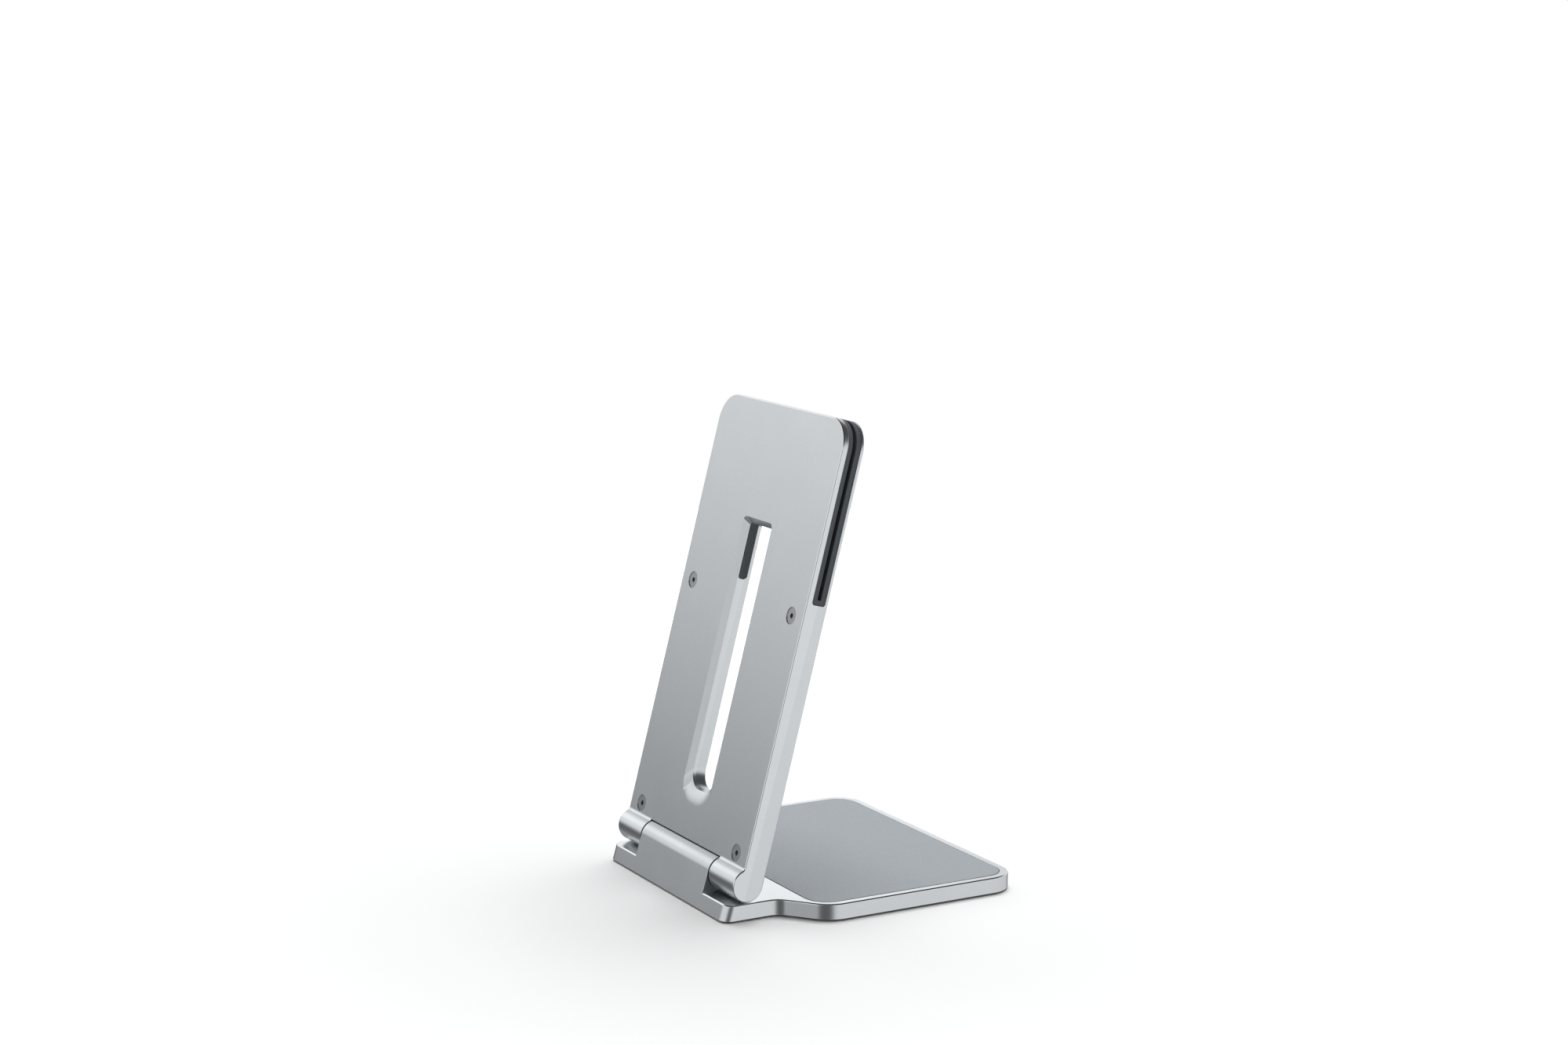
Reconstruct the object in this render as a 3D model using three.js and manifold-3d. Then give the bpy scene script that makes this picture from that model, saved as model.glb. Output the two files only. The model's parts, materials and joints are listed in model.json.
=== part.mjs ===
// Folding aluminium stand for a tablet that has its own kickstand: the kickstand's lower edge
// drops into a rubber-lined groove at the top of the arm, and the arm turns on a friction hinge
// at the rear of a flat base.
// Millimetres, +Z up, the user sits on the -Y side. The origin is on the table under the middle
// of the base. The arm's own frame has its origin on the hinge axis, Z along the arm and Y
// towards its rear face.
import * as THREE from 'three';
import { mergeVertices } from 'three/addons/utils/BufferGeometryUtils.js';
import Module from 'manifold-3d';

// ---- Driving dimensions -------------------------------------------------------------------

// Base
const BASE_WIDTH = 139.4;
const BASE_DEPTH = 128.8;
const BASE_TOP = 7.2;               // height of the bare top surface above the table
const BASE_UNDERSIDE = 0.6;         // the plate stands this far up on its rubber sole
const BASE_EDGE = 0.5;              // chamfer round the top edge
const BASE_LOWER_EDGE = 0.3;        // chamfer round the bottom edge
const BASE_FRONT_CORNER = 12;
const NECK_REAR_CORNER = 4.5;
const SHOULDER_FROM_REAR = 24.3;    // where the neck's side starts to flare
const SHOULDER_ANGLE = 50.5;        // degrees the flare turns out from the neck's side
const SHOULDER_INNER_RADIUS = 8;
const SHOULDER_OUTER_RADIUS = 14;
const HINGE_TO_REAR = 11;           // hinge axis to the base's rear edge at its bottom

// Top pad and sole
const RIM = 3.5;                    // bare metal left between the pad and the base's side
const PAD_FROM_REAR = 34.6;
const PAD_THICKNESS = 0.9;
const PAD_PROUD = 0.1;
const PAD_FRONT_CORNER = 9;
const PAD_REAR_CORNER = 10;
const SOLE_THICKNESS = 1.0;
const SOLE_INSET = 1.2;
const SOLE_CORNER = 2.5;            // least radius of the sole's corners
const RECESS_SLACK = 0.15;          // gap round the sole, and behind both sheets
const PAD_GAP = 0.3;                // open line round the top pad

// Arm
const ARM_WIDTH = 103.6;
const ARM_LENGTH = 189.6;           // hinge axis to the top edge
const ARM_THICKNESS = 10;
const ARM_EDGE = 0.45;
const ARM_TOP_CORNER = 12;
const ARM_LEAN = 14.7;              // degrees that the arm leans towards the user at rest
const HALVES_GAP = 0.06;

// Hinge barrel
const BARREL_RADIUS = 6.8;
const BARREL_TO_BASE = 0.4;         // running gap between the knuckles and the base's top
const BARREL_FILLET = 1.8;          // blend between a knuckle and the arm's rear face
const CENTRE_BARREL_LENGTH = 60;
const BARREL_END_GAP = 0.9;
const NOTCH_CLEARANCE = 0.5;        // arm's lower edge to the centre barrel

// Shaft, bushes and springs
const SHAFT_RADIUS = 3;
const SHAFT_LENGTH = 92;
const SHAFT_FLAT = 2.5;             // half the distance across the two flats at each end
const CLAMP_CLEARANCE = 0.05;
const COLLAR_RADIUS = 4.5;
const COLLAR_LENGTH = 3;
const BUSH_RADIUS = 5;
const BUSH_LENGTH = 24;
const BUSH_FIT = 0.05;
const RUNNING_CLEARANCE = 0.05;
const SPRING_RADIUS = 4.5;
const SPRING_THICKNESS = 0.5;
const SPRING_RISE = 0.4;
const STACK_GAP = 0.05;
const GRUB_RADIUS = 2;
const GRUB_LENGTH = 6;
const GRUB_SOCKET = 1.0;            // half the hexagon's width across flats
const GRUB_SOCKET_DEPTH = 2.2;
const GRUB_FIT = 0.05;
const GRUB_OFFSET = 17;             // each side of the stand's middle

// Groove for the kickstand
const GROOVE_WIDTH = 6.05;          // between the two metal jaws
const GROOVE_FLOOR = 115.2;         // hinge axis to the metal floor
const REAR_JAW = 2.45;
const GROOVE_CORNER = 1.2;
const LINER_THICKNESS = 2.15;
const LINER_FLOOR = 2.2;
const LINER_GLUE = 0.05;
const LINER_INSET = 0.25;           // liner's edge stands back from the arm's side

// Cable slot
const SLOT_WIDTH = 19.4;            // rear half, between the straight walls
const SLOT_FRONT_WIDTH = 26;        // the front half's slot is wider, so its edges stay hidden
const SLOT_BOTTOM = 26.7;
const SLOT_TOP = 139.1;
const SLOT_BEVEL = 2.3;             // bevel's width at the sides and top
const SLOT_RAMP = 6.2;              // bevel's length at the bottom, where a cable runs out
const SLOT_BEVEL_DEPTH = 2.25;
const SLOT_BOTTOM_RADIUS = 7.5;
const SLOT_TOP_RADIUS = 1.6;

// Countersunk screws that hold the arm's halves together
const SCREW_SPACING = 84.4;
const SCREW_ABOVE_HINGE = 10.9;
const SCREW_BELOW_GROOVE = 6.6;
const SCREW_RADIUS = 1.75;
const SCREW_HEAD_RADIUS = 3.5;
const SCREW_HEAD_SUNK = 0.3;
const SCREW_FIT = 0.06;
const SCREW_CLEARANCE = 0.25;       // hole in the rear half
const SCREW_SOCKET = 1.0;
const SCREW_SOCKET_DEPTH = 1.3;
const SCREW_TIP_WALL = 1.2;         // metal left between the screw's hole and the front face

const ROUND_STEPS = 48;             // sides of a full circle
const CORNER_STEPS = 8;             // steps in a rounded corner
const PAST = 2;                     // how far a cutter reaches past the face it opens

// ---- Derived places -----------------------------------------------------------------------

const DEGREE = Math.PI / 180;
const hingeY = BASE_DEPTH / 2 - HINGE_TO_REAR;
const hingeZ = BASE_TOP + BARREL_TO_BASE + BARREL_RADIUS;
const armFront = -BARREL_RADIUS;
const armRear = armFront + ARM_THICKNESS;
const grooveRear = armRear - REAR_JAW;
const grooveFront = grooveRear - GROOVE_WIDTH;
const grooveCentre = (grooveRear + grooveFront) / 2;
const barrelBore = BUSH_RADIUS + BUSH_FIT;
const notchRadius = BARREL_RADIUS + NOTCH_CLEARANCE;
const notchHalfWidth = CENTRE_BARREL_LENGTH / 2 + BARREL_END_GAP;

// The base's rear wall is the plane that touches the centre barrel and passes through the base's
// rearmost line, just above the chamfer of the bottom edge.
const rearmostZ = BASE_UNDERSIDE + BASE_LOWER_EDGE;
const rearLean = Math.atan2(HINGE_TO_REAR, hingeZ - rearmostZ)
  - Math.asin(BARREL_RADIUS / Math.hypot(HINGE_TO_REAR, hingeZ - rearmostZ));
const rearWallY = (z) => BASE_DEPTH / 2 - (z - rearmostZ) * Math.tan(rearLean);

// ---- Solids -------------------------------------------------------------------------------

const wasm = await Module();
wasm.setup();

function solidFrom(geometry) {
  const bare = geometry.clone();
  bare.deleteAttribute('normal');
  bare.deleteAttribute('uv');
  const merged = mergeVertices(bare, 1e-5);
  const corners = merged.getIndex().array;
  const triangles = [];
  for (let i = 0; i < corners.length; i += 3) {
    const [a, b, c] = [corners[i], corners[i + 1], corners[i + 2]];
    if (a !== b && b !== c && c !== a) triangles.push(a, b, c);
  }
  const vertProperties = new Float32Array(merged.getAttribute('position').array);
  const triVerts = new Uint32Array(triangles);
  const solid = new wasm.Manifold(new wasm.Mesh({ numProp: 3, vertProperties, triVerts }));
  return solid.volume() > 0 ? solid : turnedInsideOut(vertProperties, triVerts);
}

function turnedInsideOut(vertProperties, triVerts) {
  const flipped = triVerts.slice().reverse();
  return new wasm.Manifold(new wasm.Mesh({ numProp: 3, vertProperties, triVerts: flipped }));
}

function geometryFrom(solid) {
  const { vertProperties, triVerts } = solid.getMesh();
  const geometry = new THREE.BufferGeometry();
  geometry.setAttribute('position', new THREE.BufferAttribute(vertProperties, 3));
  geometry.setIndex(new THREE.BufferAttribute(triVerts, 1));
  geometry.computeVertexNormals();
  return geometry;
}

// Where a flat outline's two coordinates and its level go in space, one way for each axis.
const alongX = (point, level) => [level, point.x, point.y];
const alongY = (point, level) => [point.x, level, point.y];
const alongZ = (point, level) => [point.x, point.y, level];

// A corner is [across, up, radius]. An inset moves every edge inwards by the same distance.
function insetCorners(corners, inset) {
  return corners.map(([x, y, radius], i) => {
    const before = corners.at(i - 1);
    const after = corners[(i + 1) % corners.length];
    const arriving = new THREE.Vector2(x - before[0], y - before[1]).normalize();
    const leaving = new THREE.Vector2(after[0] - x, after[1] - y).normalize();
    const side = new THREE.Vector2(-arriving.y - leaving.y, arriving.x + leaving.x);
    side.multiplyScalar(inset / (1 + arriving.dot(leaving)));
    const convex = arriving.cross(leaving) > 0;
    const newRadius = radius === 0 ? 0 : Math.max(radius + (convex ? -inset : inset), 0.01);
    return [x + side.x, y + side.y, newRadius];
  });
}

// The points of an anticlockwise outline with its corners rounded.
function roundedOutline(corners, steps = CORNER_STEPS) {
  return corners.flatMap(([x, y, radius], i) => {
    const corner = new THREE.Vector2(x, y);
    if (radius === 0) return [corner];
    const before = corners.at(i - 1);
    const after = corners[(i + 1) % corners.length];
    const arriving = new THREE.Vector2(x - before[0], y - before[1]).normalize();
    const leaving = new THREE.Vector2(after[0] - x, after[1] - y).normalize();
    const turn = Math.atan2(arriving.cross(leaving), arriving.dot(leaving));
    const reach = radius * Math.tan(Math.abs(turn) / 2);
    const start = corner.clone().addScaledVector(arriving, -reach);
    const side = new THREE.Vector2(-arriving.y, arriving.x).multiplyScalar(Math.sign(turn));
    const centre = start.clone().addScaledVector(side, radius);
    const swings = Array.from({ length: steps + 1 }, (_, k) => (turn * k) / steps);
    return swings.map((swing) => start.clone().rotateAround(centre, swing));
  });
}

// A solid skinned over outlines with equal numbers of points, each at its own level.
function skinned(levels, place) {
  const count = levels[0].outline.length;
  const positions = levels.flatMap(({ outline, at }) => outline.flatMap((p) => place(p, at)));
  const cap = THREE.ShapeUtils.triangulateShape(levels[0].outline, []);
  const last = (levels.length - 1) * count;
  const faces = cap.flatMap(([a, b, c]) => [c, b, a, last + a, last + b, last + c]);
  for (let ring = 0; ring < last; ring += count) {
    for (let i = 0; i < count; i += 1) {
      const [low, lowNext] = [ring + i, ring + ((i + 1) % count)];
      faces.push(low, lowNext, lowNext + count, low, lowNext + count, low + count);
    }
  }
  const geometry = new THREE.BufferGeometry();
  geometry.setAttribute('position', new THREE.Float32BufferAttribute(positions, 3));
  geometry.setIndex(faces);
  return solidFrom(geometry);
}

function prism(corners, from, to, place, steps) {
  const outline = roundedOutline(corners, steps);
  return skinned([{ outline, at: from }, { outline, at: to }], place);
}

// A prism whose end faces have their edges chamfered.
function chamferedPrism(corners, from, to, chamfer, place, steps) {
  const full = roundedOutline(corners, steps);
  const reduced = roundedOutline(insetCorners(corners, chamfer), steps);
  return skinned([
    { outline: reduced, at: from },
    { outline: full, at: from + chamfer },
    { outline: full, at: to - chamfer },
    { outline: reduced, at: to },
  ], place);
}

function box(x0, x1, y0, y1, z0, z1) {
  const geometry = new THREE.BoxGeometry(x1 - x0, y1 - y0, z1 - z0);
  geometry.translate((x0 + x1) / 2, (y0 + y1) / 2, (z0 + z1) / 2);
  return solidFrom(geometry);
}

// A solid of revolution. A profile point is [radius, distance along the axis].
function turned(profile, steps = ROUND_STEPS) {
  return new THREE.LatheGeometry(profile.map(([r, h]) => new THREE.Vector2(r, h)), steps);
}

// A turned solid is made round Y, and these two lay it along X or stand it along Z.
const turnedAlongX = (profile, steps) => solidFrom(turned(profile, steps).rotateZ(-Math.PI / 2));
const turnedAlongZ = (profile, steps) => solidFrom(turned(profile, steps).rotateX(Math.PI / 2));

const rod = (radius, from, to) => [[0, from], [radius, from], [radius, to], [0, to]];

const tube = (inner, outer, from, to) => (
  [[inner, from], [outer, from], [outer, to], [inner, to], [inner, from]]
);

function hexagonCorners(halfFlats) {
  const corner = halfFlats / Math.cos(30 * DEGREE);
  return Array.from({ length: 6 }, (_, i) => (
    [corner * Math.cos(i * 60 * DEGREE), corner * Math.sin(i * 60 * DEGREE), 0]
  ));
}

function rectangleCorners(x0, x1, y0, y1, frontRadius = 0, rearRadius = frontRadius) {
  return [[x0, y0, frontRadius], [x1, y0, frontRadius], [x1, y1, rearRadius], [x0, y1, rearRadius]];
}

const mirroredPair = (solid) => solid.add(solid.mirror([1, 0, 0]));

// ---- Base ---------------------------------------------------------------------------------

// Plan of the base at a given height: its rear edge moves forward as the rear wall leans.
function baseCorners(height) {
  const side = BASE_WIDTH / 2;
  const neck = ARM_WIDTH / 2;
  const flareStart = BASE_DEPTH / 2 - SHOULDER_FROM_REAR;
  const flareEnd = flareStart - (side - neck) / Math.tan(SHOULDER_ANGLE * DEGREE);
  const right = [
    [side, -BASE_DEPTH / 2, BASE_FRONT_CORNER],
    [side, flareEnd, SHOULDER_OUTER_RADIUS],
    [neck, flareStart, SHOULDER_INNER_RADIUS],
    [neck, rearWallY(Math.max(height, rearmostZ)), NECK_REAR_CORNER],
  ];
  const left = right.map(([x, y, radius]) => [-x, y, radius]).reverse();
  return [...right, ...left];
}

function padCorners(slack) {
  return rectangleCorners(
    -BASE_WIDTH / 2 + RIM - slack, BASE_WIDTH / 2 - RIM + slack,
    -BASE_DEPTH / 2 + RIM - slack, BASE_DEPTH / 2 - PAD_FROM_REAR + slack,
    PAD_FRONT_CORNER + slack, PAD_REAR_CORNER + slack,
  );
}

function soleCorners(slack) {
  const corners = insetCorners(baseCorners(BASE_UNDERSIDE), SOLE_INSET - slack);
  return corners.map(([x, y, radius]) => [x, y, Math.max(radius, SOLE_CORNER + slack)]);
}

const soleRecessTop = SOLE_THICKNESS + RECESS_SLACK;
const padRecessFloor = BASE_TOP - (PAD_THICKNESS - PAD_PROUD) - RECESS_SLACK;

// The block between the knuckles: a barrel on a stem whose rear is the base's sloping wall.
function centreBlock() {
  const mid = (BASE_UNDERSIDE + BASE_TOP) / 2;
  const r = BARREL_RADIUS;
  const top = hingeZ + r;
  const profile = [
    [hingeY - r, mid, 0],
    [rearWallY(mid), mid, 0],
    [rearWallY(top), top, r],
    [hingeY - r, top, r],
  ];
  const half = CENTRE_BARREL_LENGTH / 2;
  return prism(profile, -half, half, alongX, ROUND_STEPS / 3);
}

function basePlate() {
  const levels = [
    [BASE_UNDERSIDE, BASE_LOWER_EDGE],
    [BASE_UNDERSIDE + BASE_LOWER_EDGE, 0],
    [BASE_TOP - BASE_EDGE, 0],
    [BASE_TOP, BASE_EDGE],
  ].map(([at, inset]) => ({ outline: roundedOutline(insetCorners(baseCorners(at), inset)), at }));
  const bore = turnedAlongX(rod(barrelBore, -CENTRE_BARREL_LENGTH, CENTRE_BARREL_LENGTH));
  const grubHole = turnedAlongZ(rod(GRUB_RADIUS + GRUB_FIT, -PAST, hingeZ), 24);
  return skinned(levels, alongZ)
    .add(centreBlock())
    .subtract(prism(padCorners(PAD_GAP), padRecessFloor, BASE_TOP + PAST, alongZ))
    .subtract(prism(soleCorners(RECESS_SLACK), -PAST, soleRecessTop, alongZ))
    .subtract(bore.translate([0, hingeY, hingeZ]))
    .subtract(mirroredPair(grubHole.translate([GRUB_OFFSET, hingeY, 0])));
}

const topPad = () => prism(
  padCorners(0), BASE_TOP + PAD_PROUD - PAD_THICKNESS, BASE_TOP + PAD_PROUD, alongZ,
);

const sole = () => prism(soleCorners(0), 0, SOLE_THICKNESS, alongZ);

// ---- Hinge hardware -----------------------------------------------------------------------

const bushInner = CENTRE_BARREL_LENGTH / 2 - BUSH_LENGTH;
const washerThickness = bushInner - COLLAR_LENGTH / 2
  - 2 * (SPRING_THICKNESS + SPRING_RISE) - 4 * STACK_GAP;

function hingeShaft() {
  const half = SHAFT_LENGTH / 2;
  const flatStart = CENTRE_BARREL_LENGTH / 2 + BARREL_END_GAP;
  const shaft = turnedAlongX(rod(SHAFT_RADIUS, -half, half))
    .add(turnedAlongX(rod(COLLAR_RADIUS, -COLLAR_LENGTH / 2, COLLAR_LENGTH / 2)));
  const upperFlats = mirroredPair(
    box(flatStart, half + PAST, -SHAFT_RADIUS - PAST, SHAFT_RADIUS + PAST, SHAFT_FLAT, SHAFT_RADIUS + PAST),
  );
  return shaft.subtract(upperFlats).subtract(upperFlats.mirror([0, 0, 1]));
}

const hingeBush = () => turnedAlongX(tube(
  SHAFT_RADIUS + RUNNING_CLEARANCE, BUSH_RADIUS, bushInner, CENTRE_BARREL_LENGTH / 2,
));

// A cone-shaped spring washer; the outward one opens away from the collar.
function discSpring(place, outward) {
  const from = COLLAR_LENGTH / 2 + STACK_GAP
    + place * (SPRING_THICKNESS + SPRING_RISE + STACK_GAP);
  const inner = SHAFT_RADIUS + RUNNING_CLEARANCE;
  const innerAt = from + (outward ? 0 : SPRING_RISE);
  const outerAt = from + (outward ? SPRING_RISE : 0);
  return turnedAlongX([
    [inner, innerAt],
    [SPRING_RADIUS, outerAt],
    [SPRING_RADIUS, outerAt + SPRING_THICKNESS],
    [inner, innerAt + SPRING_THICKNESS],
    [inner, innerAt],
  ]);
}

const thrustWasher = () => turnedAlongX(tube(
  SHAFT_RADIUS + RUNNING_CLEARANCE, SPRING_RADIUS,
  bushInner - STACK_GAP - washerThickness, bushInner - STACK_GAP,
));

function grubScrew() {
  const top = hingeZ - barrelBore;
  const bottom = top - GRUB_LENGTH;
  const body = turnedAlongZ(rod(GRUB_RADIUS, bottom, top), 24);
  const socket = prism(
    hexagonCorners(GRUB_SOCKET), bottom - PAST, bottom + GRUB_SOCKET_DEPTH, alongZ,
  );
  return body.subtract(socket).translate([GRUB_OFFSET, hingeY, 0]);
}

// ---- Arm ----------------------------------------------------------------------------------

const screwLevels = { lower: SCREW_ABOVE_HINGE, upper: GROOVE_FLOOR - SCREW_BELOW_GROOVE };
const screwTip = armFront + SCREW_TIP_WALL;
const screwTop = armRear - SCREW_HEAD_SUNK;

const armCorners = (bottom, inset = 0) => rectangleCorners(
  -ARM_WIDTH / 2 + inset, ARM_WIDTH / 2 - inset, bottom, ARM_LENGTH - inset,
  0, ARM_TOP_CORNER - inset,
);

// Side view of a knuckle: the barrel, the fillet behind it and the foot of the arm's plate.
function knuckleCorners(top) {
  const r = BARREL_RADIUS;
  const offset = armRear + BARREL_FILLET;
  const angle = Math.acos(offset / (r + BARREL_FILLET));
  return [
    [armFront, top, 0],
    [armFront, -r, r],
    [r, -r, r],
    [r, r * Math.tan(angle / 2), r],
    [armRear, (r - armRear * Math.cos(angle)) / Math.sin(angle), BARREL_FILLET],
    [armRear, top, 0],
  ];
}

// Room for the centre barrel: square in front, so the arm folds flat, and round behind.
function centreNotch() {
  const w = notchHalfWidth;
  const far = 3 * BARREL_RADIUS;
  const arcEnd = Math.sqrt(notchRadius ** 2 - armRear ** 2);
  return box(-w, w, -far, 0, -far, notchRadius)
    .add(turnedAlongX(rod(notchRadius, -w, w)))
    .add(box(-w, w, 0, far, -far, arcEnd))
    .add(box(-w, w, armRear, far, -far, far));
}

// The clamp's bore for one end of the shaft, with its two flats.
function shaftSocket() {
  const r = SHAFT_RADIUS + CLAMP_CLEARANCE;
  const flat = SHAFT_FLAT + CLAMP_CLEARANCE;
  const end = SHAFT_LENGTH / 2 + CLAMP_CLEARANCE;
  return turnedAlongX(rod(r, 0, end)).intersect(box(0, end, -r, r, -flat, flat));
}

// Side view of the groove, or of the space inside its liners.
function grooveCorners(rear, front, floor, corner) {
  const top = ARM_LENGTH + PAST;
  return [
    [front, top, 0],
    [front, floor + corner, 0],
    [front + corner, floor, 0],
    [rear - corner, floor, 0],
    [rear, floor + corner, 0],
    [rear, top, 0],
  ];
}

const grooveCut = (inset) => prism(
  grooveCorners(grooveRear - inset, grooveFront + inset, GROOVE_FLOOR + inset, GROOVE_CORNER),
  -ARM_WIDTH, ARM_WIDTH, alongX,
);

// The slot's outline; spread 0 is its straight wall and 1 is the bevel's edge on the rear face.
function slotOutline(halfWidth, spread) {
  const side = halfWidth + SLOT_BEVEL * spread;
  const bottom = SLOT_BOTTOM - SLOT_RAMP * spread;
  const top = SLOT_TOP + SLOT_BEVEL * spread;
  const footRadius = SLOT_BOTTOM_RADIUS + SLOT_BEVEL * spread;
  const headRadius = SLOT_TOP_RADIUS * (1 + spread / 2);
  return roundedOutline([
    [-side, bottom, footRadius], [side, bottom, footRadius],
    [side, top, headRadius], [-side, top, headRadius],
  ]);
}

function rearSlot() {
  const half = SLOT_WIDTH / 2;
  const past = 0.2;
  return skinned([
    { outline: slotOutline(half, 1 + past), at: armRear + past * SLOT_BEVEL_DEPTH },
    { outline: slotOutline(half, 0), at: armRear - SLOT_BEVEL_DEPTH },
    { outline: slotOutline(half, 0), at: armFront - PAST },
  ], alongY);
}

function frontSlot() {
  const outline = slotOutline(SLOT_FRONT_WIDTH / 2, 0);
  return skinned([{ outline, at: armRear + PAST }, { outline, at: armFront - PAST }], alongY);
}

// The arm before it is split: plate, knuckles, notch, groove and shaft sockets.
function armBlank() {
  const half = ARM_WIDTH / 2;
  const footTop = SCREW_ABOVE_HINGE;
  const plateBottom = (footTop + notchRadius) / 2;
  const plate = chamferedPrism(armCorners(plateBottom), armFront, armRear, ARM_EDGE, alongY);
  const foot = chamferedPrism(knuckleCorners(footTop), -half, half, ARM_EDGE, alongX, ROUND_STEPS / 4);
  return plate
    .add(foot)
    .subtract(centreNotch())
    .subtract(grooveCut(0))
    .subtract(mirroredPair(shaftSocket()));
}

// Everything on the rear side of the split, which runs from the hinge axis to the groove's centre.
function rearOfSplit(gap) {
  const tilt = Math.atan2(-grooveCentre, GROOVE_FLOOR);
  const far = 2 * ARM_LENGTH;
  return box(-far, far, gap, far, -far, far).rotate([tilt / DEGREE, 0, 0]);
}

const atScrews = (solid) => Object.values(screwLevels)
  .map((level) => mirroredPair(solid.translate([SCREW_SPACING / 2, 0, level])))
  .reduce((all, pair) => all.add(pair));

// A screw lies along Y, with its head to the rear.
function turnedAlongY(profile, steps = 24) {
  return solidFrom(turned(profile, steps));
}

const headBase = armRear - (SCREW_HEAD_RADIUS - SCREW_RADIUS) - SCREW_HEAD_SUNK;

function armRearHalf() {
  const hole = SCREW_RADIUS + SCREW_CLEARANCE;
  const coneSlack = SCREW_FIT * Math.SQRT2;
  const countersink = turnedAlongY([
    [0, armFront - PAST],
    [hole, armFront - PAST],
    [hole, headBase + SCREW_CLEARANCE - coneSlack],
    [SCREW_HEAD_RADIUS + coneSlack, screwTop],
    [SCREW_HEAD_RADIUS + coneSlack, armRear + PAST],
    [0, armRear + PAST],
  ]);
  return armBlank()
    .intersect(rearOfSplit(HALVES_GAP / 2))
    .subtract(rearSlot())
    .subtract(atScrews(countersink));
}

function armFrontHalf() {
  const threadHole = turnedAlongY(rod(SCREW_RADIUS + SCREW_FIT, screwTip - SCREW_FIT, armRear + PAST));
  return armBlank()
    .subtract(rearOfSplit(-HALVES_GAP / 2))
    .subtract(frontSlot())
    .subtract(atScrews(threadHole));
}

function armScrew() {
  const body = turnedAlongY([
    [0, screwTip],
    [SCREW_RADIUS - 0.3, screwTip],
    [SCREW_RADIUS, screwTip + 0.3],
    [SCREW_RADIUS, headBase],
    [SCREW_HEAD_RADIUS, screwTop],
    [0, screwTop],
  ]);
  const socket = prism(
    hexagonCorners(SCREW_SOCKET), screwTop - SCREW_SOCKET_DEPTH, armRear + PAST, alongY,
  );
  return body.subtract(socket);
}

// One liner is an L in side view: it faces its jaw and covers half of the groove's floor.
function linerBlank() {
  const innerRear = grooveRear - LINER_THICKNESS;
  const innerFront = grooveFront + LINER_THICKNESS;
  const innerFloor = GROOVE_FLOOR + LINER_FLOOR;
  const space = prism(
    grooveCorners(innerRear, innerFront, innerFloor, 0), -ARM_WIDTH, ARM_WIDTH, alongX,
  );
  const outline = prism(armCorners(0, LINER_INSET), armFront - PAST, armRear + PAST, alongY);
  return grooveCut(LINER_GLUE).intersect(outline).subtract(space);
}

const seam = (from, to) => box(-ARM_WIDTH, ARM_WIDTH, from, to, 0, 2 * ARM_LENGTH);

const rearLiner = () => linerBlank()
  .intersect(seam(grooveCentre + HALVES_GAP / 2, armRear))
  .subtract(rearSlot());

const frontLiner = () => linerBlank()
  .intersect(seam(armFront, grooveCentre - HALVES_GAP / 2))
  .subtract(frontSlot());

// ---- Scene --------------------------------------------------------------------------------

const materials = {
  aluminium: { color: 0xb9bdbf, roughness: 0.42, metalness: 0.9 },
  padRubber: { color: 0xa4a9ae, roughness: 0.9, metalness: 0 },
  linerRubber: { color: 0x4c5156, roughness: 0.8, metalness: 0 },
  steel: { color: 0x8c8f92, roughness: 0.35, metalness: 1 },
  bronze: { color: 0xa87b4a, roughness: 0.5, metalness: 1 },
};

function mesh(name, solid, finish) {
  const part = new THREE.Mesh(geometryFrom(solid), new THREE.MeshStandardMaterial(materials[finish]));
  part.name = name;
  return part;
}

const sides = { left: -1, right: 1 };
const onSide = (solid, sign) => (sign > 0 ? solid : solid.mirror([1, 0, 0]));

const stand = new THREE.Group();
stand.name = 'tablet_stand';

const base = new THREE.Group();
base.add(
  mesh('base_plate', basePlate(), 'aluminium'),
  mesh('base_top_pad', topPad(), 'padRubber'),
  mesh('base_sole_pad', sole(), 'linerRubber'),
);
stand.add(base);

const arm = new THREE.Group();
arm.position.set(0, hingeY, hingeZ);
arm.rotation.x = ARM_LEAN * DEGREE;
arm.add(
  mesh('arm_rear_half', armRearHalf(), 'aluminium'),
  mesh('arm_front_half', armFrontHalf(), 'aluminium'),
  mesh('rear_jaw_liner', rearLiner(), 'linerRubber'),
  mesh('front_jaw_liner', frontLiner(), 'linerRubber'),
  mesh('hinge_shaft', hingeShaft(), 'steel'),
);
stand.add(arm);

for (const [side, sign] of Object.entries(sides)) {
  const bush = hingeBush().translate([0, hingeY, hingeZ]);
  base.add(
    mesh(`hinge_bush_${side}`, onSide(bush, sign), 'bronze'),
    mesh(`bush_grub_screw_${side}`, onSide(grubScrew(), sign), 'steel'),
  );
  arm.add(
    mesh(`disc_spring_${side}_inner`, onSide(discSpring(0, true), sign), 'steel'),
    mesh(`disc_spring_${side}_outer`, onSide(discSpring(1, false), sign), 'steel'),
    mesh(`thrust_washer_${side}`, onSide(thrustWasher(), sign), 'steel'),
  );
  for (const [row, level] of Object.entries(screwLevels)) {
    const screw = mesh(`arm_screw_${row}_${side}`, armScrew(), 'steel');
    screw.position.set((sign * SCREW_SPACING) / 2, 0, level);
    arm.add(screw);
  }
}

export default stand;
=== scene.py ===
import json
import math

import bmesh
import bpy
from mathutils import Matrix, Vector


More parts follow.
